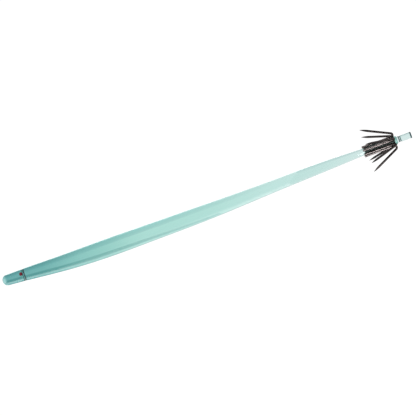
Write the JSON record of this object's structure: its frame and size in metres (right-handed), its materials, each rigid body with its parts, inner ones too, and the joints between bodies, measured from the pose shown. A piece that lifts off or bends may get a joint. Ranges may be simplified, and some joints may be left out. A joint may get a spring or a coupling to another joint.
{
  "type": "squid jig",
  "caption": "Slim clear plastic stick lure for squid, with a line hole through each end and a crown of barbless wire hooks round its tail.",
  "frame": {"origin": "middle of the line hole through the nose", "axes": "+X along the stick from the nose to the tail, +Z towards the straight back and along both line holes, -Z towards the belly"},
  "size_m": [0.18, 0.0172, 0.0185],
  "materials": {
    "clear_plastic": "moulded clear aqua acrylic, polished",
    "collar_plastic": "clear pale aqua acrylic ring",
    "red_plastic": "translucent crimson bead, glossy",
    "hook_wire": "drawn steel wire, black nickel plated, ground needle points",
    "sleeve_metal": "thin drawn tube, black nickel plated",
    "solder": "soft solder, plated over, slightly matt"
  },
  "bodies": {
    "root": {"stick_body": "clear_plastic", "eye_bead": "red_plastic", "crown_sleeve": "sleeve_metal", "solder_seams": "solder", "retaining_collar": "collar_plastic", "hook_1": "hook_wire", "hook_2": "hook_wire", "hook_3": "hook_wire", "hook_4": "hook_wire", "hook_5": "hook_wire", "hook_6": "hook_wire"}
  },
  "joints": []
}
